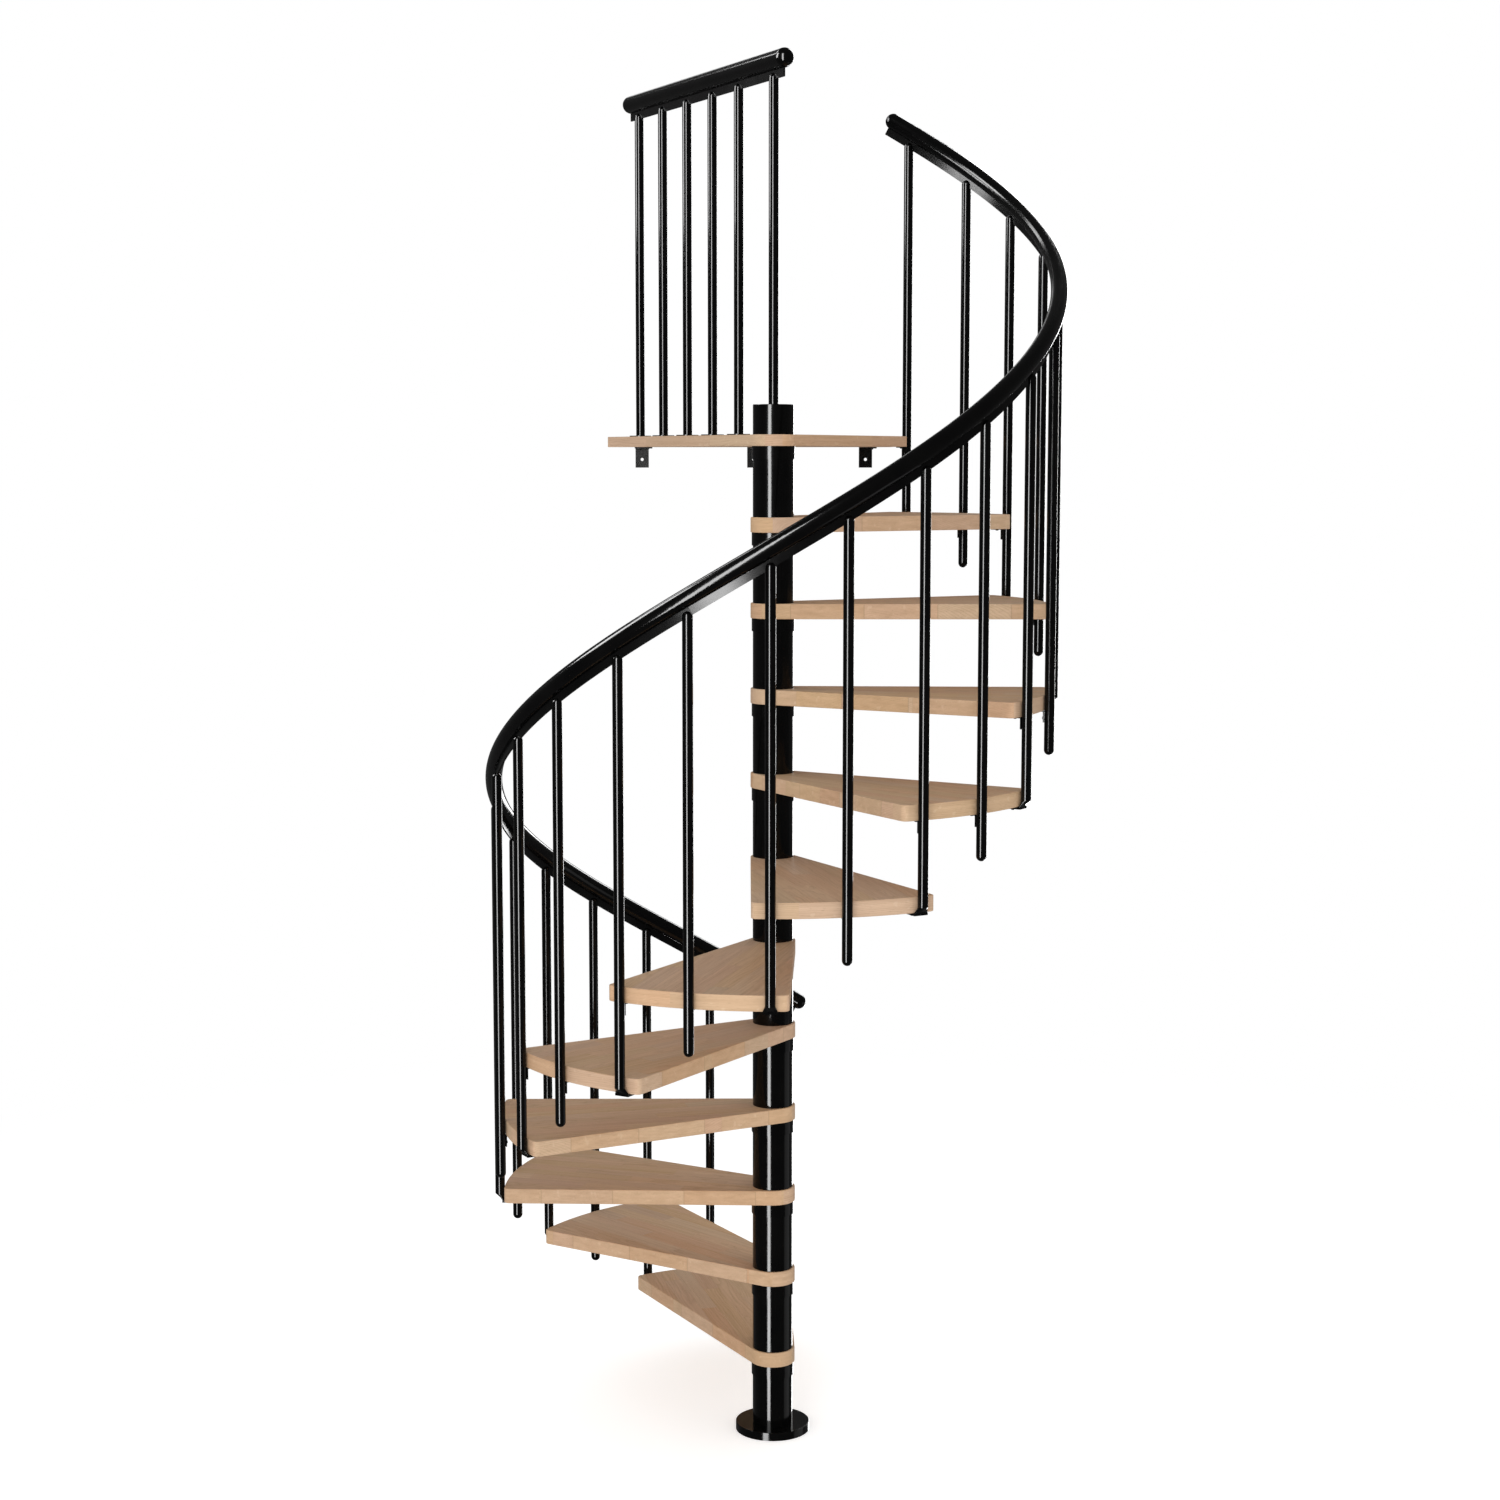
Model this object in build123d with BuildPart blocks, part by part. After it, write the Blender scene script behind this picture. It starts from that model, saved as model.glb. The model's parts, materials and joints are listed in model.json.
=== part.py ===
from build123d import *
import os
from math import acos, atan, cos, degrees, pi, radians, sin

# All sizes are in millimetres. Z is up, the column axis is Z and the wall behind the landing runs along X.
# Angles are in degrees, seen from above, counter-clockwise from +X. The stair climbs counter-clockwise.

# Driving sizes of the stair
tread_count = 11
first_rise = 230
rise = 225
turn = 29.88
first_link_angle = 89.7
mid_rod_lag = 15.44

# Base and column
base_radius = 100
base_thick = 22
base_edge = 1.5
column_radius = 54
column_wall = 4
collar_wall = 2.7
collar_height = 34
post_height = 78
cap_thick = 6
tie_radius = 10

# Treads
tread_thick = 40
tread_radius = 724
tread_half_angle = 18.6
tread_corner = 15
tread_edge = 2.5
hub_rim = 6

# Landing board
landing_thick = 30
landing_edge = 1.5
wall_y = 860
landing_front_angle = 57.8
landing_side_angle = 61
rail_angle = 115.7

# Rods of the railing
rod_radius = 13
rod_gap = 1
mid_rod_drop = 154
seat_gap = 0.3
touch_gap = 0.1
slot_gap = 0.6

# Flattened foot of a link rod
foot_start = 16
foot_width = 38
foot_thick = 6
foot_reach = 40
foot_round = 2.5

# Angle brackets that hold the rods to the treads
bracket_width = 16
bracket_thick = 2.5
bracket_leg = 30
bracket_flange = 36

# Handrail that follows the stair
rail_radius = 22
rail_above_tread = 845
rail_start_lead = 5.6
rail_end_lead = 3.3
bar_start_lead = 6.3
bar_end_lead = 4.1
rail_segments = 6
bar_thick = 5
bar_height = 20
rod_top_gap = 11
cap_neck = 8

# Straight rail along the open side of the landing
landing_rail_radius = 25
landing_rail_height = 955
landing_rail_near = 53
landing_rail_far = 927
landing_bar_near = 61
landing_bar_far = 935
landing_bar_height = 22
first_gap = 211
last_rod = 878
landing_rod_count = 5
landing_rod_top_gap = 6
rosette_radius = 32
rosette_thick = 3

# Brackets between the landing and the wall
wall_bracket_width = 39
wall_bracket_height = 60
wall_bracket_thick = 4
wall_bracket_flange = 50
wall_bracket_depth = 55
wall_bracket_pitch = 329.3
wall_bracket_first = -379.5
wall_hole_radius = 4.5
wall_hole_drop = 36

# Sizes that follow from the ones above
hub_radius = column_radius + hub_rim
collar_radius = column_radius + seat_gap + collar_wall
rod_circle = tread_radius + rod_gap + rod_radius
rod_top_drop = rail_radius + rod_top_gap
landing_rod_top_drop = landing_rail_radius + landing_rod_top_gap
landing_under = first_rise + tread_count * rise - tread_thick
landing_top = landing_under + landing_thick
half_turn = turn / 2
helix_pitch = rise * 360 / turn
slope = degrees(atan(helix_pitch / (2 * pi * rod_circle)))
tread_tangent = tread_half_angle + degrees(acos(hub_radius / tread_radius))
tie_hole = tie_radius + seat_gap
rod_inner = rod_circle - rod_radius
leg_face = rod_inner - seat_gap


def polar(radius, angle, z=0):
    return Vector(radius * cos(radians(angle)), radius * sin(radians(angle)), z)


def tread_top(number):
    return first_rise + (number - 1) * rise


def link_angle(number):
    return first_link_angle + number * turn


def mid_angle(number):
    return link_angle(number) - mid_rod_lag


def rail_z(angle):
    # Height of the handrail's centre line above the floor at an angle counted from the first link rod
    return tread_top(1) + rail_above_tread + (angle - first_link_angle) * rise / turn


def turned_plane(angle, z):
    # Level plane on the column axis whose x axis points outwards at the angle
    return Plane(origin=(0, 0, z), x_dir=polar(1, angle), z_dir=(0, 0, 1))


def round_rod(x, y, low, high, round_low):
    # Upright rod with a domed top, and a domed lower end where asked
    with BuildSketch(Plane(origin=(x, y, 0), x_dir=(1, 0, 0), z_dir=(0, -1, 0))) as half:
        with BuildLine():
            side_low = low + rod_radius if round_low else low
            if round_low:
                RadiusArc((0, low), (rod_radius, side_low), -rod_radius)
            else:
                Line((0, low), (rod_radius, low))
            Line((rod_radius, side_low), (rod_radius, high - rod_radius))
            RadiusArc((rod_radius, high - rod_radius), (0, high), -rod_radius)
            Line((0, high), (0, low))
        make_face()
    revolve(half.sketch, axis=Axis((x, y, 0), (0, 0, 1)))


def rail_slot(angle):
    # Slot in a rod's top for the flat bar, cut along the slope of the handrail
    along = polar(cos(radians(slope)), angle + 90, sin(radians(slope)))
    centre = polar(rod_circle, angle, rail_z(angle))
    with BuildSketch(Plane(origin=centre, x_dir=along, z_dir=polar(1, angle))) as slot:
        with Locations((0, -rail_radius)):
            Rectangle(8 * rod_radius, 2 * (bar_height + 2 * seat_gap))
    extrude(slot.sketch, amount=bar_thick / 2 + slot_gap, both=True, mode=Mode.SUBTRACT)


def rod_bracket(angle, under):
    # Angle bracket under a board, its leg just inside the rod
    with BuildSketch(Plane(origin=(0, 0, 0), x_dir=polar(1, angle), z_dir=polar(1, angle - 90))) as profile:
        with BuildLine():
            Polyline(
                (leg_face, under),
                (leg_face - bracket_flange, under),
                (leg_face - bracket_flange, under - bracket_thick),
                (leg_face - bracket_thick, under - bracket_thick),
                (leg_face - bracket_thick, under - bracket_leg),
                (leg_face, under - bracket_leg),
                close=True,
            )
        make_face()
    extrude(profile.sketch, amount=bracket_width / 2, both=True)


def rod_foot(angle, under):
    # Rod end pressed flat, then turned in under the tread
    high_end = polar(rod_circle, angle, under + foot_start)
    low_end = polar(rod_inner + foot_thick / 2, angle, under)
    with BuildSketch(Plane(origin=high_end, x_dir=polar(1, angle))) as round_end:
        Circle(rod_radius)
    with BuildSketch(Plane(origin=low_end, x_dir=polar(1, angle))) as flat_end:
        RectangleRounded(foot_thick, foot_width, foot_round)
    loft([round_end.sketch, flat_end.sketch])
    with BuildSketch(Plane(origin=(0, 0, 0), x_dir=polar(1, angle), z_dir=polar(1, angle - 90))) as tongue:
        with Locations((rod_inner + foot_thick - foot_reach / 2, under - foot_thick / 2)):
            Rectangle(foot_reach, foot_thick)
    extrude(tongue.sketch, amount=foot_width / 2, both=True)


def dome_cap(seam, outward, radius):
    # Short neck and rounded end that closes a handrail tube
    with BuildSketch(Plane(origin=seam, x_dir=outward, z_dir=outward.cross(Vector(0, 0, 1)))) as half:
        with BuildLine():
            Polyline((cap_neck + radius, 0), (0, 0), (0, radius), (cap_neck, radius))
            RadiusArc((cap_neck, radius), (cap_neck + radius, 0), radius)
        make_face()
    revolve(half.sketch, axis=Axis(seam, outward))


def helix_part(start, end):
    # Path of the handrail's centre line between two angles
    with BuildLine() as path:
        Helix(helix_pitch, rail_z(end) - rail_z(start), rod_circle)
    return path.line.moved(Location((0, 0, rail_z(start)), (0, 0, start)))


os.makedirs("parts", exist_ok=True)

# Round base plate, its underside on the floor
with BuildPart() as base_plate:
    Cylinder(base_radius, base_thick, align=(Align.CENTER, Align.CENTER, Align.MIN))
    fillet(edges().filter_by(GeomType.CIRCLE).group_by(Axis.Z)[-1], base_edge)
base_plate.part.label = "base_plate"
export_step(base_plate.part, "parts/base_plate.step")

# Column tubes: one under the first tread, one between each pair of boards
with BuildPart() as column_tubes:
    tube_ends = [(base_thick, tread_top(1) - tread_thick)]
    for number in range(1, tread_count):
        tube_ends.append((tread_top(number), tread_top(number + 1) - tread_thick))
    tube_ends.append((tread_top(tread_count), landing_under))
    for low, high in tube_ends:
        with BuildSketch(Plane.XY.offset(low)):
            Circle(column_radius)
            Circle(column_radius - column_wall, mode=Mode.SUBTRACT)
        extrude(amount=high - low)
column_tubes.part.label = "column_tubes"
export_step(column_tubes.part, "parts/column_tubes.step")

# Short post above the landing, closed at the top, that carries the last rod
with BuildPart() as column_post:
    with BuildSketch(Plane.XY.offset(landing_top)):
        Circle(column_radius)
        Circle(column_radius - column_wall, mode=Mode.SUBTRACT)
    extrude(amount=post_height - cap_thick)
    with BuildSketch(Plane.XY.offset(landing_top + post_height - cap_thick)):
        Circle(column_radius)
    extrude(amount=cap_thick)
    fillet(edges().filter_by(GeomType.CIRCLE).group_by(Axis.Z)[-1], base_edge)
column_post.part.label = "column_post"
export_step(column_post.part, "parts/column_post.step")

# Threaded rod inside the column that clamps base, tubes and treads together
with BuildPart() as tie_rod:
    with BuildSketch(Plane.XY.offset(base_thick)):
        Circle(tie_radius)
    extrude(amount=landing_top + post_height - cap_thick - base_thick)
tie_rod.part.label = "tie_rod"
export_step(tie_rod.part, "parts/tie_rod.step")

# Collars under the treads and the landing that centre the column tubes
with BuildPart() as column_collars:
    collar_tops = [tread_top(number) - tread_thick for number in range(1, tread_count + 1)]
    collar_tops.append(landing_under)
    for top in collar_tops:
        with BuildSketch(Plane.XY.offset(top - collar_height)):
            Circle(collar_radius)
            Circle(column_radius + seat_gap, mode=Mode.SUBTRACT)
        extrude(amount=collar_height)
column_collars.part.label = "column_collars"
export_step(column_collars.part, "parts/column_collars.step")

# Oak treads: a wedge with straight sides that run tangent to the round end at the column
for number in range(1, tread_count + 1):
    with BuildPart() as tread:
        with BuildSketch(turned_plane(link_angle(number) - half_turn, tread_top(number) - tread_thick)):
            with BuildLine():
                left_hub = polar(hub_radius, tread_tangent)
                left_end = polar(tread_radius, tread_half_angle)
                right_hub = polar(hub_radius, -tread_tangent)
                right_end = polar(tread_radius, -tread_half_angle)
                Line(left_hub, left_end)
                ThreePointArc(left_end, (tread_radius, 0), right_end)
                Line(right_end, right_hub)
                ThreePointArc(right_hub, (-hub_radius, 0), left_hub)
            make_face()
            fillet(vertices().group_by(Axis.X)[-1], tread_corner)
        extrude(amount=tread_thick)
        fillet(edges().filter_by(Plane.XY), tread_edge)
        with Locations((0, 0, tread_top(number))):
            Hole(tie_hole)
    tread.part.label = f"tread_{number:02d}"
    export_step(tread.part, f"parts/tread_{number:02d}.step")

# Landing board: tangent to its round end, square to the wall behind, its free side along the rail
with BuildPart() as landing_board:
    corner_angle = landing_front_angle - degrees(acos(hub_radius / tread_radius))
    front_corner = polar(tread_radius, landing_front_angle)
    side_corner = polar(tread_radius, landing_side_angle)
    arc_middle = polar(tread_radius, (landing_front_angle + landing_side_angle) / 2)
    left_hub = polar(hub_radius, rail_angle + 90)
    hub_middle = polar(hub_radius, (rail_angle + 90 + corner_angle + 360) / 2)
    left_run = (wall_y - left_hub.Y) / sin(radians(rail_angle))
    left_rear = left_hub + polar(left_run, rail_angle)
    with BuildSketch(Plane.XY.offset(landing_under)):
        with BuildLine():
            Line(polar(hub_radius, corner_angle), front_corner)
            ThreePointArc(front_corner, arc_middle, side_corner)
            Line(side_corner, (side_corner.X, wall_y))
            Line((side_corner.X, wall_y), left_rear)
            Line(left_rear, left_hub)
            ThreePointArc(left_hub, hub_middle, polar(hub_radius, corner_angle))
        make_face()
    extrude(amount=landing_thick)
    fillet(edges().filter_by(Plane.XY), landing_edge)
    with Locations((0, 0, landing_top)):
        Hole(tie_hole)
landing_board.part.label = "landing_board"
export_step(landing_board.part, "parts/landing_board.step")

# Three angle brackets under the landing's rear edge, each with one hole for the wall
with BuildPart() as wall_brackets:
    for index in range(3):
        left = wall_bracket_first + index * wall_bracket_pitch - wall_bracket_width / 2
        with BuildSketch(Plane.XZ.offset(-wall_y)):
            with Locations((left, landing_under)):
                Rectangle(wall_bracket_width, wall_bracket_height, align=(Align.MIN, Align.MAX))
            with Locations((left + wall_bracket_width / 2, landing_under - wall_hole_drop)):
                Circle(wall_hole_radius, mode=Mode.SUBTRACT)
        extrude(amount=wall_bracket_thick)
        with BuildSketch(Plane.XY.offset(landing_under)):
            with Locations((left, wall_y)):
                Rectangle(wall_bracket_flange, wall_bracket_depth, align=(Align.MIN, Align.MAX))
        extrude(amount=-wall_bracket_thick)
wall_brackets.part.label = "wall_brackets"
export_step(wall_brackets.part, "parts/wall_brackets.step")

# Angle brackets for the rods that link two treads, the last one under the landing
with BuildPart() as link_rod_brackets:
    for number in range(tread_count):
        rod_bracket(link_angle(number), tread_top(number + 1) - tread_thick)
    rod_bracket(link_angle(tread_count), landing_under)
link_rod_brackets.part.label = "link_rod_brackets"
export_step(link_rod_brackets.part, "parts/link_rod_brackets.step")

# Angle brackets for the rods at the middle of the treads
with BuildPart() as mid_rod_brackets:
    for number in range(1, tread_count + 1):
        rod_bracket(mid_angle(number), tread_top(number) - tread_thick)
mid_rod_brackets.part.label = "mid_rod_brackets"
export_step(mid_rod_brackets.part, "parts/mid_rod_brackets.step")

# First rod of the railing, which ends below the first tread like the mid rods
with BuildPart() as first_baluster:
    spot = polar(rod_circle, first_link_angle)
    high = rail_z(first_link_angle) - rod_top_drop
    round_rod(spot.X, spot.Y, tread_top(1) - mid_rod_drop, high, True)
    rail_slot(first_link_angle)
first_baluster.part.label = "first_baluster"
export_step(first_baluster.part, "parts/first_baluster.step")

# Link rods: each passes the front corner of one tread and ends in a flat foot under the tread below
with BuildPart() as link_balusters:
    for number in range(1, tread_count + 1):
        angle = link_angle(number)
        under = tread_top(number) - tread_thick
        spot = polar(rod_circle, angle)
        round_rod(spot.X, spot.Y, under + foot_start, rail_z(angle) - rod_top_drop, False)
        rod_foot(angle, under)
        rail_slot(angle)
link_balusters.part.label = "link_balusters"
export_step(link_balusters.part, "parts/link_balusters.step")

# Mid rods: each hangs past the middle of a tread and ends free below it
with BuildPart() as mid_balusters:
    for number in range(1, tread_count + 1):
        angle = mid_angle(number)
        spot = polar(rod_circle, angle)
        round_rod(spot.X, spot.Y, tread_top(number) - mid_rod_drop, rail_z(angle) - rod_top_drop, True)
        rail_slot(angle)
mid_balusters.part.label = "mid_balusters"
export_step(mid_balusters.part, "parts/mid_balusters.step")

# Handrail tube that follows the stair, in sections that meet end to end
rail_start = link_angle(0) - rail_start_lead
rail_end = link_angle(tread_count) + rail_end_lead
for index in range(rail_segments):
    step = (rail_end - rail_start) / rail_segments
    start = rail_start + index * step
    with BuildPart() as handrail:
        path = helix_part(start, start + step)
        with BuildSketch(Plane(origin=path @ 0, z_dir=path % 0)):
            Circle(rail_radius)
        sweep(path=path, is_frenet=True)
    handrail.part.label = f"handrail_{index + 1}"
    export_step(handrail.part, f"parts/handrail_{index + 1}.step")

# Flat bar under the handrail, in sections that meet end to end
bar_start = link_angle(0) - bar_start_lead
bar_end = link_angle(tread_count) + bar_end_lead
for index in range(rail_segments):
    step = (bar_end - bar_start) / rail_segments
    start = bar_start + index * step
    with BuildPart() as rail_bar:
        path = helix_part(start, start + step)
        with BuildSketch(Plane(origin=path @ 0, x_dir=polar(1, start), z_dir=path % 0)):
            with Locations((0, rail_radius + touch_gap)):
                Rectangle(bar_thick, bar_height, align=(Align.CENTER, Align.MIN))
        sweep(path=path, is_frenet=True)
    rail_bar.part.label = f"rail_bar_{index + 1}"
    export_step(rail_bar.part, f"parts/rail_bar_{index + 1}.step")

# Rounded caps on both ends of the handrail
with BuildPart() as handrail_caps:
    low_path = helix_part(rail_start, rail_start + turn)
    dome_cap(low_path @ 0, (low_path % 0) * -1, rail_radius)
    high_path = helix_part(rail_end - turn, rail_end)
    dome_cap(high_path @ 1, high_path % 1, rail_radius)
handrail_caps.part.label = "handrail_caps"
export_step(handrail_caps.part, "parts/handrail_caps.step")

# Straight handrail above the landing's free side
landing_rail_z = landing_top + landing_rail_height
rail_along = polar(1, rail_angle)
rail_across = polar(1, rail_angle + 90)
rail_near_end = polar(-landing_rail_near, rail_angle, landing_rail_z)
rail_far_end = polar(landing_rail_far, rail_angle, landing_rail_z)
with BuildPart() as landing_handrail:
    with BuildSketch(Plane(origin=rail_near_end, z_dir=rail_along)):
        Circle(landing_rail_radius)
    extrude(amount=landing_rail_near + landing_rail_far)
landing_handrail.part.label = "landing_handrail"
export_step(landing_handrail.part, "parts/landing_handrail.step")

# Rounded caps on both ends of the straight handrail
with BuildPart() as landing_rail_caps:
    dome_cap(rail_near_end, rail_along * -1, landing_rail_radius)
    dome_cap(rail_far_end, rail_along, landing_rail_radius)
landing_rail_caps.part.label = "landing_rail_caps"
export_step(landing_rail_caps.part, "parts/landing_rail_caps.step")

# Flat bar under the straight handrail
with BuildPart() as landing_rail_bar:
    bar_near_end = polar(-landing_bar_near, rail_angle, landing_rail_z)
    with BuildSketch(Plane(origin=bar_near_end, x_dir=rail_across, z_dir=rail_along)):
        with Locations((0, -landing_rail_radius - touch_gap)):
            Rectangle(bar_thick, landing_bar_height, align=(Align.CENTER, Align.MAX))
    extrude(amount=landing_bar_near + landing_bar_far)
landing_rail_bar.part.label = "landing_rail_bar"
export_step(landing_rail_bar.part, "parts/landing_rail_bar.step")

# Rods of the straight rail: the first stands on the column post, the others on the landing
with BuildPart() as landing_balusters:
    gap = (last_rod - first_gap) / (landing_rod_count - 1)
    runs = [0] + [first_gap + index * gap for index in range(landing_rod_count)]
    for run in runs:
        spot = polar(run, rail_angle)
        low = landing_top if run else landing_top + post_height
        round_rod(spot.X, spot.Y, low, landing_rail_z - landing_rod_top_drop, False)
        slot_middle = polar(run, rail_angle, landing_rail_z)
        with BuildSketch(Plane(origin=slot_middle, x_dir=rail_along, z_dir=rail_across)):
            Rectangle(4 * rod_radius, 2 * (landing_rail_radius + landing_bar_height + seat_gap))
        extrude(amount=bar_thick / 2 + slot_gap, both=True, mode=Mode.SUBTRACT)
landing_balusters.part.label = "landing_balusters"
export_step(landing_balusters.part, "parts/landing_balusters.step")

# Round flanges where the rods stand on the landing
with BuildPart() as landing_rosettes:
    for run in runs[1:]:
        spot = polar(run, rail_angle)
        with BuildSketch(Plane.XY.offset(landing_top)):
            with Locations((spot.X, spot.Y)):
                Circle(rosette_radius)
                Circle(rod_radius + seat_gap, mode=Mode.SUBTRACT)
        extrude(amount=rosette_thick)
landing_rosettes.part.label = "landing_rosettes"
export_step(landing_rosettes.part, "parts/landing_rosettes.step")
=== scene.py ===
import json
import math

import bmesh
import bpy
from mathutils import Matrix, Vector


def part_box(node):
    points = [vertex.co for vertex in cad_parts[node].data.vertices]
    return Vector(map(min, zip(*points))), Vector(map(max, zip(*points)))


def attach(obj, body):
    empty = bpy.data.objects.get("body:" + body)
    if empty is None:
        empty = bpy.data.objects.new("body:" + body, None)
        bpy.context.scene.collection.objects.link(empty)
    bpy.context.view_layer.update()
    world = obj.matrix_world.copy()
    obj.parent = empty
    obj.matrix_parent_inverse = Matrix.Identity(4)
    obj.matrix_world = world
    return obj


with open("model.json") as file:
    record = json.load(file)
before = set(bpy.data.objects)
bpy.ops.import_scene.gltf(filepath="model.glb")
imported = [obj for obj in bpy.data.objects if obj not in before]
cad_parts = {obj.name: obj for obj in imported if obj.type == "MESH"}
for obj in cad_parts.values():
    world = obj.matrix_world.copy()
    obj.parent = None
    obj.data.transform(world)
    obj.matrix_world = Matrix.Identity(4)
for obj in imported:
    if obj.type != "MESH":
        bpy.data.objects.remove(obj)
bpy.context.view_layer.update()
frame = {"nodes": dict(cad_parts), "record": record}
nodes = frame["nodes"]

# Camera: fitted to the photograph, which looks level along +Y and a little down
CAMERA_AT = (-0.0614, -6.778, 2.6395)
CAMERA_DOWN_DEG = 6.524
CAMERA_FOCAL_MM = 61.73
CAMERA_CLIP_END = 200
SENSOR_MM = 36.0

# Stair angles that the materials and screws follow, in degrees from +X
FIRST_LINK_DEG = 89.7
TURN_DEG = 29.88
MID_LAG_DEG = 15.44
TREADS = 11
LANDING_RAIL_DEG = 115.7

# Colours as written, in linear light
OAK_LIGHT = (0.66, 0.444, 0.278, 1)
OAK_DARK = (0.47, 0.292, 0.166, 1)
OAK_PORE = (0.25, 0.145, 0.075, 1)
OAK_FLECK = (0.74, 0.55, 0.37, 1)
BLACK = (0.0009, 0.0009, 0.0010, 1)
BLACK_WORN = (0.0020, 0.0019, 0.0018, 1)
ZINC_DARK = (0.46, 0.46, 0.45, 1)
ZINC_LIGHT = (0.66, 0.65, 0.62, 1)
FLOOR = (0.86, 0.86, 0.86, 1)
FLOOR_LIGHT = (0.90, 0.90, 0.90, 1)

# Oak staves, in metres: their size, how many rows are counted off to one side so that every
# row number is positive, how much of its length each row is shifted by, in how many places
# boards start, and how wide a glue line is across and along, the latter as a share of a length
STAVE_WIDTH = 0.046
STAVE_LENGTH = 0.43
STAVE_ROWS = 40
STAVE_SHIFT = 0.381966
STAVE_STARTS = 7
SEAM_HALF_WIDTH = 0.0005
BUTT_SHARE = 0.0012
# A face counts as one of the board's ends from this cosine on, and shows one stave, cut this
# far off the stave's middle
END_COSINE = 0.70
END_OFFSET = 0.012
# Growth rings: their spacing, their wobble, and how far the pith lies to a side and below
RING_SPACING = 0.0034
RING_WOBBLE = 0.030
PITH_SIDE = 0.16
PITH_NEAREST = 0.03
PITH_DEPTH = 0.09
# Where a ring's porous early part ends and its dark late part starts, as shares of its width
EARLY_END = 0.45
LATE_START = 0.86
# Between which noise levels pores, flecks and streaks come up
PORE_LEVELS = (0.60, 0.70)
FLECK_LEVELS = (0.66, 0.72)
STREAK_LEVELS = (0.32, 0.68)
PORE_LEAST = 0.25
# How strongly each part of the grain darkens the wood
RING_DARK = 0.30
STREAK_DARK = 0.50
FIBRE_DARK = 0.22
PORE_DARK = 0.45
SEAM_DARK = 0.35
FLECK_LIGHT = 0.30
STAVE_NOISE_STEP = 37.0
# How far the staves differ from each other
STAVE_HUE = (0.494, 0.505)
STAVE_SATURATION = (0.90, 1.06)
STAVE_VALUE = (0.955, 1.04)
# Noises of the grain: scale along, across and through the board, octaves, roughness, and the
# axis on which each stave starts somewhere else
GRAIN = {
    "slow": ((2.6, 9.0, 9.0), 3.0, 0.55, 0),
    "streak": ((3.5, 95.0, 95.0), 4.0, 0.60, 0),
    "fibre": ((34.0, 1500.0, 1500.0), 2.0, 0.60, None),
    "pore": ((60.0, 1150.0, 1150.0), 1.0, 0.40, 0),
    "fleck": ((45.0, 210.0, 60.0), 1.0, 0.50, 1),
}
# Gloss and relief: the roughness follows the streaks, and fibres, pores and glue lines each
# have a share of the relief's depth in metres
OAK_SPECULAR = 0.35
OAK_ROUGH = (0.40, 0.52)
OAK_ROUGH_LEVELS = (0.3, 0.7)
PORE_ROUGH = 0.18
OAK_RELIEF = 0.00025
OAK_RELIEF_STRENGTH = 0.6
FIBRE_RELIEF = 0.25
PORE_RELIEF = 0.9
SEAM_RELIEF = 0.8

# Black coats: the index of the clear gloss, the scales of its marks and its orange peel, and
# the noise levels between which the marks change its colour and its roughness
GLOSS_IOR = 1.30
CLOUD_SCALE = 9.0
PEEL_SCALE = 60.0
WORN_LEVELS = (0.35, 0.7)
ROUGH_LEVELS = (0.3, 0.7)
# Each coat: least and most roughness, and the depth of its orange peel in metres
COAT_FINISH = (0.11, 0.16, 0.000006)
TUBE_FINISH = (0.12, 0.17, 0.000004)
ROD_FINISH = (0.09, 0.13, 0.000002)
BAR_FINISH = (0.18, 0.26, 0.000008)
SCREW_FINISH = (0.20, 0.30, 0.000004)
# Zinc plating: scale and relief of its mottling, and its roughness
ZINC_SCALE = 700.0
ZINC_RELIEF = 0.0001
ZINC_ROUGH = (0.24, 0.40)

# Screws, in metres from the part's own sizes: brackets under the boards, feet and wall brackets
FIRST_TOP = 0.230
RISE = 0.225
BOARD = 0.040
LEG_FACE = 0.7247
PLATE = 0.0025
FLANGE_MIDDLE = 0.0195
LEG_DROP = 0.0185
FOOT_THICK = 0.006
FOOT_SCREW_IN = 0.707
FOOT_SCREW_SIDE = 0.0105
LANDING_UNDER = FIRST_TOP + TREADS * RISE - BOARD
WALL_PLATE = 0.004
WALL_SCREW_Y = 0.826
WALL_SCREW_X = (-0.3870, -0.3620)
WALL_PITCH = 0.3293
WALL_BRACKETS = 3
# A head's radius and height, its outline from the underside up, and its hexagonal socket, both
# as shares of that radius and height
BRACKET_HEAD = (0.0042, 0.0026)
FOOT_HEAD = (0.0046, 0.0028)
WALL_HEAD = (0.0048, 0.0030)
HEAD_SIDES = 24
HEAD_OUTLINE = [(1.0, 0.0), (1.0, 0.30), (0.95, 0.58), (0.84, 0.82), (0.68, 0.96), (0.54, 1.0)]
HEAD_SOCKET = [(0.44, 1.0), (0.44, 0.42)]
HEAD_SHARP_DEG = 50
DOWN = (0, 0, -1)

# Studio: the world's strength as light, to the camera and in the gloss, and the floor's size
# in metres, its glow for the camera, and where it fades into plain white
WORLD_LIT = 0.815
WHITE = 1.0
GLOSS_SEES = 0.10
FLOOR_RADIUS = 40.0
FLOOR_SIDES = 96
FLOOR_GRAIN_SCALE = 60.0
FLOOR_GLOW = 0.43
FADE_FROM = 1.2
FADE_TO = 4.5
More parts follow.
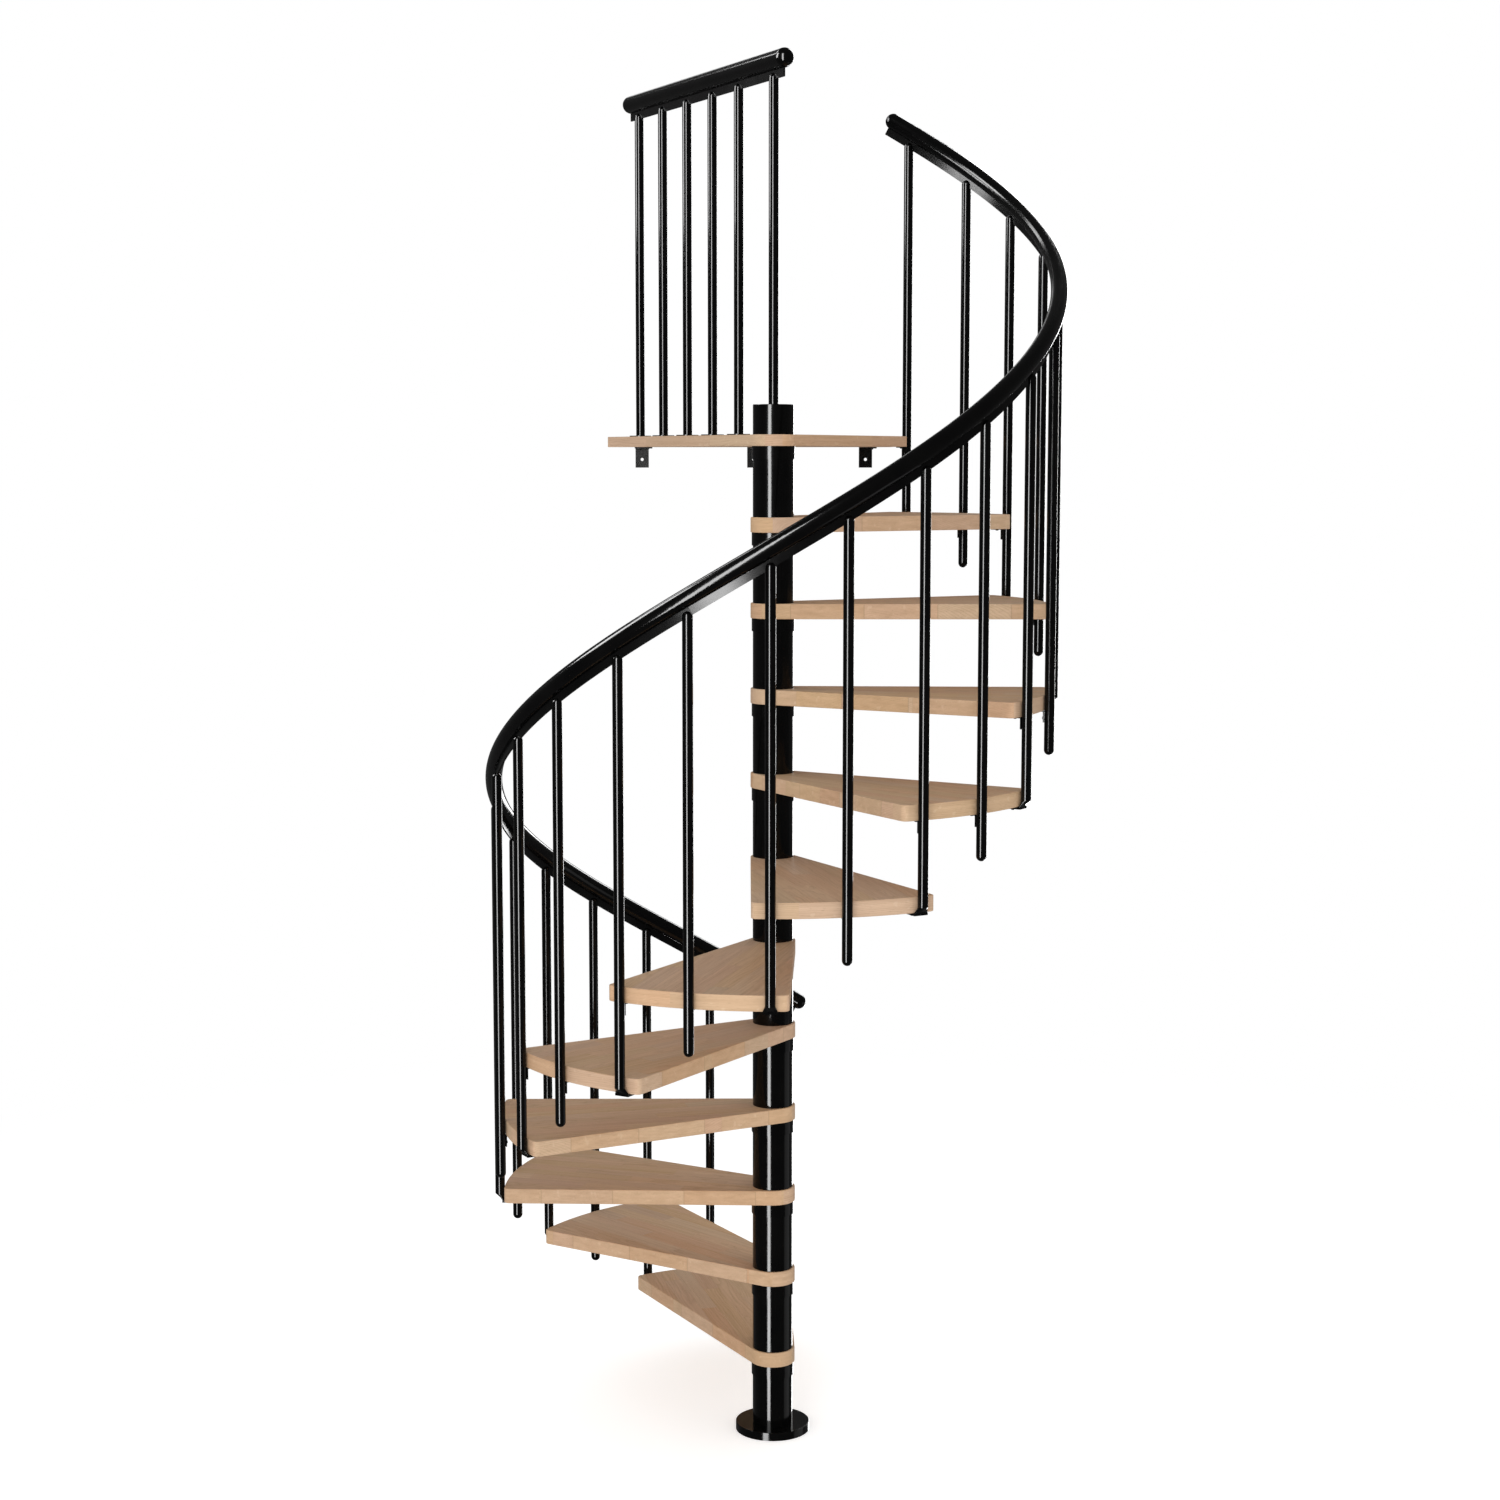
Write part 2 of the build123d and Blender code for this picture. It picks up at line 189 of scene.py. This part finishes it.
# Lamps: place, what it faces, width, height. The key light ends with its power in watts, and
# each box that only the black coats reflect with its radiance
KEY = ((-1.5, -9.0, 2.6), (0, 0, 1.9), 6.0, 5.0, 325)
BOXES = {
    "front_box": ((-2.93, -7.44, 3.2), (0, 0, 3.2), 2.3, 13.0, 33.0),
    "left_box": ((-4.7, 0.6, 5.35), (0.5, 0.6, 5.35), 2.0, 3.4, 24.0),
    "back_box": ((-4.2, 3.9, 7.3), (0, -0.5, 2.3), 1.4, 2.6, 9.0),
    "far_box": ((-1.0, 7.6, 6.0), (0, 0, 3.6), 2.4, 1.4, 1.2),
    "right_box": ((3.2, 0.0, -0.6), (0, 0, -0.6), 2.2, 2.0, 0.55),
    "rear_box": ((2.93, 7.44, 3.2), (0, 0, 3.2), 1.6, 13.0, 10.0),
}


class Graph:
    """Short calls for building one material's nodes."""

    def __init__(self, name):
        self.material = bpy.data.materials.new(name)
        self.material.use_nodes = True
        self.tree = self.material.node_tree
        self.tree.nodes.clear()
        self.out = self.add("ShaderNodeOutputMaterial")

    def add(self, kind, **values):
        node = self.tree.nodes.new(kind)
        for key, value in values.items():
            setattr(node, key, value)
        return node

    def link(self, source, target):
        self.tree.links.new(source, target)

    def feed(self, socket, value):
        """Links a socket to a node's output, or gives it a plain value."""
        if isinstance(value, bpy.types.NodeSocket):
            self.link(value, socket)
        else:
            socket.default_value = value

    def math(self, operation, a, b=0.0, clamp=False):
        node = self.add("ShaderNodeMath", operation=operation, use_clamp=clamp)
        self.feed(node.inputs[0], a)
        self.feed(node.inputs[1], b)
        return node.outputs[0]

    def plus(self, a, b, clamp=False):
        return self.math("ADD", a, b, clamp)

    def minus(self, a, b):
        return self.math("SUBTRACT", a, b)

    def times(self, a, b, clamp=False):
        return self.math("MULTIPLY", a, b, clamp)

    def over(self, a, b):
        return self.math("DIVIDE", a, b)

    def choose(self, switch, a, b):
        """a where switch is 0 and b where it is 1."""
        node = self.add("ShaderNodeMix", data_type="FLOAT")
        self.feed(node.inputs["Factor"], switch)
        self.feed(node.inputs["A"], a)
        self.feed(node.inputs["B"], b)
        return node.outputs["Result"]

    def vector(self, x, y, z):
        node = self.add("ShaderNodeCombineXYZ")
        for socket, value in zip(node.inputs, (x, y, z)):
            self.feed(socket, value)
        return node.outputs[0]

    def noise(self, vector, scale, detail, roughness):
        node = self.add("ShaderNodeTexNoise")
        self.link(vector, node.inputs["Vector"])
        node.inputs["Scale"].default_value = scale
        node.inputs["Detail"].default_value = detail
        node.inputs["Roughness"].default_value = roughness
        return node.outputs["Fac"]

    def random(self, vector):
        node = self.add("ShaderNodeTexWhiteNoise", noise_dimensions="3D")
        self.link(vector, node.inputs["Vector"])
        return node.outputs["Color"]

    def remap(self, value, low, high, to_low=0.0, to_high=1.0, smooth=False):
        node = self.add("ShaderNodeMapRange")
        node.interpolation_type = "SMOOTHSTEP" if smooth else "LINEAR"
        self.feed(node.inputs["Value"], value)
        node.inputs["From Min"].default_value = low
        node.inputs["From Max"].default_value = high
        node.inputs["To Min"].default_value = to_low
        node.inputs["To Max"].default_value = to_high
        return node.outputs["Result"]

    def mix(self, factor, a, b):
        node = self.add("ShaderNodeMix", data_type="RGBA", blend_type="MIX")
        self.feed(node.inputs["Factor"], factor)
        self.feed(node.inputs["A"], a)
        self.feed(node.inputs["B"], b)
        return node.outputs["Result"]

    def mix_shader(self, factor, a, b):
        node = self.add("ShaderNodeMixShader")
        self.feed(node.inputs[0], factor)
        self.link(a, node.inputs[1])
        self.link(b, node.inputs[2])
        return node.outputs[0]

    def bump(self, height, distance, strength):
        node = self.add("ShaderNodeBump")
        self.link(height, node.inputs["Height"])
        node.inputs["Distance"].default_value = distance
        node.inputs["Strength"].default_value = strength
        return node.outputs["Normal"]

    def surface(self, shader):
        """Ends the graph with a shader and gives back the material."""
        self.link(shader, self.out.inputs["Surface"])
        return self.material


def oak(name, turn_deg, middle, seed):
    """Edge-glued oak staves along x after a turn about Z, each with rings round its own pith."""
    g = Graph(name)
    turn = math.radians(turn_deg)
    where = g.add("ShaderNodeTexCoord")
    place = g.add("ShaderNodeMapping", vector_type="TEXTURE")
    place.inputs["Rotation"].default_value = (0, 0, turn)
    place.inputs["Location"].default_value = (0, 0, middle)
    g.link(where.outputs["Object"], place.inputs["Vector"])
    split = g.add("ShaderNodeSeparateXYZ")
    g.link(place.outputs[0], split.inputs[0])
    x, y, z = split.outputs

    # On the faces across the board's ends the grain of the edging runs round the board
    facing = g.add("ShaderNodeNewGeometry")
    along = g.add("ShaderNodeVectorMath", operation="DOT_PRODUCT")
    g.link(facing.outputs["True Normal"], along.inputs[0])
    along.inputs[1].default_value = (math.cos(turn), math.sin(turn), 0)
    end = g.math("GREATER_THAN", g.math("ABSOLUTE", along.outputs["Value"]), END_COSINE)
    x, y = g.choose(end, x, y), g.choose(end, y, END_OFFSET)

    # Which stave a point is in, and the three random numbers of that stave
    row = g.math("FLOOR", g.over(g.plus(y, STAVE_WIDTH * (STAVE_ROWS + 0.5)), STAVE_WIDTH))
    shift = g.math("FRACT", g.times(row, STAVE_SHIFT))
    start = g.plus(shift, float(seed % STAVE_STARTS) / STAVE_STARTS)
    run = g.plus(g.over(x, STAVE_LENGTH), start)
    column = g.math("FLOOR", run)
    dice = g.add("ShaderNodeSeparateColor")
    g.link(g.random(g.vector(row, column, float(seed))), dice.inputs[0])
    tone, pith_side, pith_deep = dice.outputs
    local_y = g.minus(y, g.times(g.minus(row, float(STAVE_ROWS)), STAVE_WIDTH))
    own_start = g.times(tone, STAVE_NOISE_STEP)

    def grain(kind):
        scales, detail, roughness, shifted = GRAIN[kind]
        axes = [g.times(value, scale) for value, scale in zip((x, y, z), scales)]
        if shifted is not None:
            axes[shifted] = g.plus(axes[shifted], own_start)
        return g.noise(g.vector(*axes), 1.0, detail, roughness)

    # Rings round the pith, with a slow wobble along the board
    dy = g.minus(local_y, g.times(g.minus(pith_side, 0.5), PITH_SIDE))
    dz = g.plus(z, g.plus(PITH_NEAREST, g.times(pith_deep, PITH_DEPTH)))
    radius = g.math("SQRT", g.plus(g.times(dy, dy), g.times(dz, dz)))
    radius = g.plus(radius, g.times(grain("slow"), RING_WOBBLE))
    ring = g.math("FRACT", g.over(radius, RING_SPACING))
    early = g.remap(ring, 0.0, EARLY_END, 1.0, 0.0, True)
    late = g.remap(ring, LATE_START, 1.0, 0.0, 1.0, True)
    ring_tone = g.math("MAXIMUM", early, late)

    # Long soft streaks, fine fibres, pores and the pale flecks of the rays
    streak = grain("streak")
    fibre = grain("fibre")
    pore = g.remap(grain("pore"), *PORE_LEVELS, 0.0, 1.0, True)
    pore = g.times(pore, g.plus(PORE_LEAST, early))
    fleck = g.remap(grain("fleck"), *FLECK_LEVELS, 0.0, FLECK_LIGHT, True)
    dark = g.remap(streak, *STREAK_LEVELS, 0.0, STREAK_DARK)
    dark = g.plus(g.times(ring_tone, RING_DARK), dark)
    dark = g.plus(dark, g.times(g.minus(fibre, 0.5), FIBRE_DARK), True)
    colour = g.mix(dark, OAK_LIGHT, OAK_DARK)
    colour = g.mix(g.times(pore, PORE_DARK, True), colour, OAK_PORE)
    colour = g.mix(fleck, colour, OAK_FLECK)

    # Each stave's own tone and warmth
    hue = g.add("ShaderNodeHueSaturation")
    g.feed(hue.inputs["Hue"], g.remap(pith_side, 0.0, 1.0, *STAVE_HUE))
    g.feed(hue.inputs["Saturation"], g.remap(pith_deep, 0.0, 1.0, *STAVE_SATURATION))
    g.feed(hue.inputs["Value"], g.remap(tone, 0.0, 1.0, *STAVE_VALUE))
    g.link(colour, hue.inputs["Color"])

    # Thin glue lines between staves, and none on the board's ends
    half = STAVE_WIDTH / 2
    side = g.remap(g.math("ABSOLUTE", local_y), half - SEAM_HALF_WIDTH, half, 0.0, 1.0, True)
    from_middle = g.math("ABSOLUTE", g.minus(g.math("FRACT", run), 0.5))
    butt = g.remap(from_middle, 0.5 - BUTT_SHARE, 0.5, 0.0, 1.0, True)
    seam = g.times(g.math("MAXIMUM", side, butt), g.minus(1.0, end))
    colour = g.mix(g.times(seam, SEAM_DARK), hue.outputs["Color"], OAK_PORE)

    shader = g.add("ShaderNodeBsdfPrincipled")
    g.link(colour, shader.inputs["Base Color"])
    rough = g.remap(streak, *OAK_ROUGH_LEVELS, *OAK_ROUGH)
    g.link(g.plus(rough, g.times(pore, PORE_ROUGH)), shader.inputs["Roughness"])
    shader.inputs["Specular IOR Level"].default_value = OAK_SPECULAR
    height = g.minus(g.times(fibre, FIBRE_RELIEF), g.times(pore, PORE_RELIEF))
    height = g.minus(height, g.times(seam, SEAM_RELIEF))
    g.link(g.bump(height, OAK_RELIEF, OAK_RELIEF_STRENGTH), shader.inputs["Normal"])
    return g.surface(shader.outputs[0])


def gloss_black(name, low_rough, high_rough, peel):
    """Black coat: nearly mirror smooth, with soft handling marks and a faint long orange peel."""
    g = Graph(name)
    where = g.add("ShaderNodeTexCoord")
    point = where.outputs["Object"]
    cloud = g.noise(point, CLOUD_SCALE, 5.0, 0.6)
    skin = g.noise(point, PEEL_SCALE, 2.0, 0.5)
    shader = g.add("ShaderNodeBsdfPrincipled")
    colour = g.mix(g.remap(cloud, *WORN_LEVELS), BLACK, BLACK_WORN)
    g.link(colour, shader.inputs["Base Color"])
    rough = g.remap(cloud, *ROUGH_LEVELS, low_rough, high_rough)
    g.link(rough, shader.inputs["Roughness"])
    shader.inputs["IOR"].default_value = GLOSS_IOR
    g.link(g.bump(skin, peel, 1.0), shader.inputs["Normal"])
    return g.surface(shader.outputs[0])


def zinc(name):
    """Zinc plated steel: bright grey with a crystal-like mottling."""
    g = Graph(name)
    where = g.add("ShaderNodeTexCoord")
    mottle = g.noise(where.outputs["Object"], ZINC_SCALE, 4.0, 0.6)
    shader = g.add("ShaderNodeBsdfPrincipled")
    g.link(g.mix(mottle, ZINC_DARK, ZINC_LIGHT), shader.inputs["Base Color"])
    shader.inputs["Metallic"].default_value = 1.0
    g.link(g.remap(mottle, *ROUGH_LEVELS, *ZINC_ROUGH), shader.inputs["Roughness"])
    g.link(g.bump(mottle, ZINC_RELIEF, 0.5), shader.inputs["Normal"])
    return g.surface(shader.outputs[0])


def give(node, material):
    """Puts one material on a CAD node."""
    slots = nodes[node].material_slots
    for slot in slots:
        slot.material = material
    if not slots:
        nodes[node].data.materials.append(material)


def node_slot(node):
    """The record's material slot of a CAD node."""
    subparts = frame["record"]["subparts"]
    return next(part["material_slot"] for part in subparts if part["node"] == node)


def middle_z(node):
    """The height of a CAD node's middle."""
    low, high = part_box(node)
    return (low.z + high.z) / 2


# Materials of the CAD nodes. Each tread's grain runs along its middle line, the landing's
# along its free side
for number in range(1, TREADS + 1):
    node = f"tread_{number:02d}"
    centre = FIRST_LINK_DEG + (number - 0.5) * TURN_DEG
    give(node, oak("oak_" + node, centre, middle_z(node), number))
landing_z = middle_z("landing_board")
give("landing_board", oak("oak_landing", LANDING_RAIL_DEG, landing_z, TREADS + 1))
coat = gloss_black("black_coat", *COAT_FINISH)
tube = gloss_black("black_tube", *TUBE_FINISH)
rod = gloss_black("black_rod", *ROD_FINISH)
flat = gloss_black("black_bar", *BAR_FINISH)
screw = gloss_black("black_screw", *SCREW_FINISH)
steel = zinc("zinc_plate")
for node in nodes:
    if node.startswith(("column_", "base_")):
        give(node, coat)
    elif "balusters" in node or node in ("first_baluster", "landing_rosettes"):
        give(node, rod)
    elif "handrail" in node or node == "landing_rail_caps":
        give(node, tube)
    elif "bar" in node or "brackets" in node:
        give(node, flat)
give("tie_rod", steel)

# All that is coated black or plated, which the box lights draw
coated = bpy.data.collections.new("coated")
for node, piece in nodes.items():
    if node_slot(node) != "oak":
        coated.objects.link(piece)


def polar(radius, degrees, side=0.0):
    """A point out from the column's axis at an angle, then a step sideways."""
    turn = math.radians(degrees)
    return (radius * math.cos(turn) - side * math.sin(turn),
            radius * math.sin(turn) + side * math.cos(turn))


def screw_head(bm, at, facing, radius, height):
    """A pan head with a hexagonal socket, its flat underside on a surface."""
    tilt = Vector(facing).to_track_quat("Z", "X").to_matrix().to_4x4()
    place = Matrix.Translation(at) @ tilt

    def loop(rise, reach):
        """One ring of the head: how far it reaches at each angle, at a share of the height."""
        turns = [math.tau * i / HEAD_SIDES for i in range(HEAD_SIDES)]
        return [bm.verts.new(place @ Vector((reach(turn) * math.cos(turn),
                                             reach(turn) * math.sin(turn),
                                             height * rise))) for turn in turns]

    def hexagon(turn):
        """How far a hexagon with corners at a reach of 1 lies out at an angle."""
        off = (turn + math.pi / 6) % (math.pi / 3) - math.pi / 6
        return math.cos(math.pi / 6) / math.cos(off)

    loops = [loop(rise, lambda turn: radius * share) for share, rise in HEAD_OUTLINE]
    loops += [loop(rise, lambda turn: radius * share * hexagon(turn))
              for share, rise in HEAD_SOCKET]
    for low, high in zip(loops, loops[1:]):
        for i in range(HEAD_SIDES):
            j = (i + 1) % HEAD_SIDES
            face = bm.faces.new((low[i], low[j], high[j], high[i]))
            face.smooth = True
    bm.faces.new(loops[-1])
    bm.faces.new(loops[0][::-1])


def screw_set(name, heads, size):
    """One piece that holds the screws of one kind: each has a place and the way it faces."""
    mesh = bpy.data.meshes.new(name)
    bm = bmesh.new()
    for at, facing in heads:
        screw_head(bm, at, facing, *size)
    bm.normal_update()
    bm.to_mesh(mesh)
    bm.free()
    mesh.set_sharp_from_angle(angle=math.radians(HEAD_SHARP_DEG))
    piece = bpy.data.objects.new(name, mesh)
    bpy.context.scene.collection.objects.link(piece)
    mesh.materials.append(screw)
    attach(piece, "root")
    coated.objects.link(piece)


# Each bracket under a board: its angle and the height of the board's underside. A link rod's
# bracket is where two treads meet, and a middle rod's is part of a turn before it
brackets = [(FIRST_LINK_DEG + number * TURN_DEG, FIRST_TOP + number * RISE - BOARD)
            for number in range(TREADS + 1)]
feet = [(FIRST_LINK_DEG + number * TURN_DEG, FIRST_TOP + (number - 1) * RISE - BOARD)
        for number in range(1, TREADS + 1)]
brackets += [(angle - MID_LAG_DEG, under) for angle, under in feet]
flange_heads = [((*polar(LEG_FACE - FLANGE_MIDDLE, angle), under - PLATE), DOWN)
                for angle, under in brackets]
leg_heads = [((*polar(LEG_FACE - PLATE, angle), under - LEG_DROP), (*polar(-1.0, angle), 0))
             for angle, under in brackets]
screw_set("bracket_screws", flange_heads + leg_heads, BRACKET_HEAD)
foot_heads = [((*polar(FOOT_SCREW_IN, angle, side), under - FOOT_THICK), DOWN)
              for angle, under in feet for side in (-FOOT_SCREW_SIDE, FOOT_SCREW_SIDE)]
screw_set("foot_screws", foot_heads, FOOT_HEAD)
wall_heads = [((x + index * WALL_PITCH, WALL_SCREW_Y, LANDING_UNDER - WALL_PLATE), DOWN)
              for index in range(WALL_BRACKETS) for x in WALL_SCREW_X]
screw_set("wall_bracket_screws", wall_heads, WALL_HEAD)

# Floor: lit paper near the stair, plain white further off, both only as the camera sees it
floor_mesh = bpy.data.meshes.new("floor")
bm = bmesh.new()
bmesh.ops.create_circle(bm, cap_ends=True, segments=FLOOR_SIDES, radius=FLOOR_RADIUS)
bm.to_mesh(floor_mesh)
bm.free()
floor = bpy.data.objects.new("floor", floor_mesh)
bpy.context.scene.collection.objects.link(floor)
# Gloss looks through the floor, so that the tall box light also draws the lowest tubes
floor.visible_glossy = False
g = Graph("floor_paper")
where = g.add("ShaderNodeTexCoord")
path = g.add("ShaderNodeLightPath")
diffuse = g.add("ShaderNodeBsdfDiffuse")
paper = g.noise(where.outputs["Object"], FLOOR_GRAIN_SCALE, 4.0, 0.6)
g.link(g.mix(paper, FLOOR, FLOOR_LIGHT), diffuse.inputs["Color"])
glow = g.add("ShaderNodeEmission")
glow.inputs["Strength"].default_value = FLOOR_GLOW
plain = g.add("ShaderNodeEmission")
plain.inputs["Strength"].default_value = WHITE
seen = g.math("MAXIMUM", path.outputs["Is Camera Ray"], path.outputs["Is Transmission Ray"])
both = g.add("ShaderNodeAddShader")
g.link(diffuse.outputs[0], both.inputs[0])
g.link(glow.outputs[0], both.inputs[1])
near = g.mix_shader(seen, diffuse.outputs[0], both.outputs[0])
length = g.add("ShaderNodeVectorMath", operation="LENGTH")
g.link(where.outputs["Object"], length.inputs[0])
fade = g.remap(length.outputs["Value"], FADE_FROM, FADE_TO, 0.0, 1.0, True)
far = g.mix_shader(g.times(fade, seen), near, plain.outputs[0])
floor_mesh.materials.append(g.surface(far))

# World: white to the camera and through glass, dimmed in the gloss, and soft light elsewhere
world = bpy.data.worlds.new("studio")
world.use_nodes = True
bpy.context.scene.world = world
tree = world.node_tree
tree.nodes.clear()


def background(strength):
    node = tree.nodes.new("ShaderNodeBackground")
    node.inputs["Color"].default_value = (1, 1, 1, 1)
    node.inputs["Strength"].default_value = strength
    return node.outputs[0]


def mix_backgrounds(factor, a, b):
    node = tree.nodes.new("ShaderNodeMixShader")
    for socket, value in zip(node.inputs, (factor, a, b)):
        tree.links.new(value, socket)
    return node.outputs[0]


world_out = tree.nodes.new("ShaderNodeOutputWorld")
path = tree.nodes.new("ShaderNodeLightPath")
either = tree.nodes.new("ShaderNodeMath")
either.operation = "MAXIMUM"
tree.links.new(path.outputs["Is Camera Ray"], either.inputs[0])
tree.links.new(path.outputs["Is Transmission Ray"], either.inputs[1])
studio = mix_backgrounds(either.outputs[0], background(WORLD_LIT), background(WHITE))
studio = mix_backgrounds(path.outputs["Is Glossy Ray"], studio, background(GLOSS_SEES))
tree.links.new(studio, world_out.inputs["Surface"])


def lamp(name, at, to, width, height, power, diffuse=True, glossy=True):
    """A soft box that faces a point, seen in the diffuse light, in the gloss or in both."""
    data = bpy.data.lights.new(name, "AREA")
    data.shape = "RECTANGLE"
    data.size = width
    data.size_y = height
    data.energy = power
    obj = bpy.data.objects.new(name, data)
    obj.location = at
    obj.rotation_euler = (Vector(to) - Vector(at)).to_track_quat("-Z", "Y").to_euler()
    obj.visible_camera = False
    obj.visible_diffuse = diffuse
    obj.visible_glossy = glossy
    bpy.context.scene.collection.objects.link(obj)
    return obj


lamp("key", *KEY, glossy=False)
for name, (at, to, width, height, radiance) in BOXES.items():
    power = radiance * math.pi * width * height
    box = lamp(name, at, to, width, height, power, diffuse=False)
    box.light_linking.receiver_collection = coated

camera_data = bpy.data.cameras.new("camera")
camera_data.lens = CAMERA_FOCAL_MM
camera_data.sensor_width = SENSOR_MM
camera_data.sensor_fit = "HORIZONTAL"
camera_data.clip_end = CAMERA_CLIP_END
camera = bpy.data.objects.new("camera", camera_data)
camera.location = CAMERA_AT
camera.rotation_euler = (math.radians(90 - CAMERA_DOWN_DEG), 0, 0)
bpy.context.scene.collection.objects.link(camera)
bpy.context.scene.camera = camera
bpy.context.scene.view_settings.view_transform = "Standard"
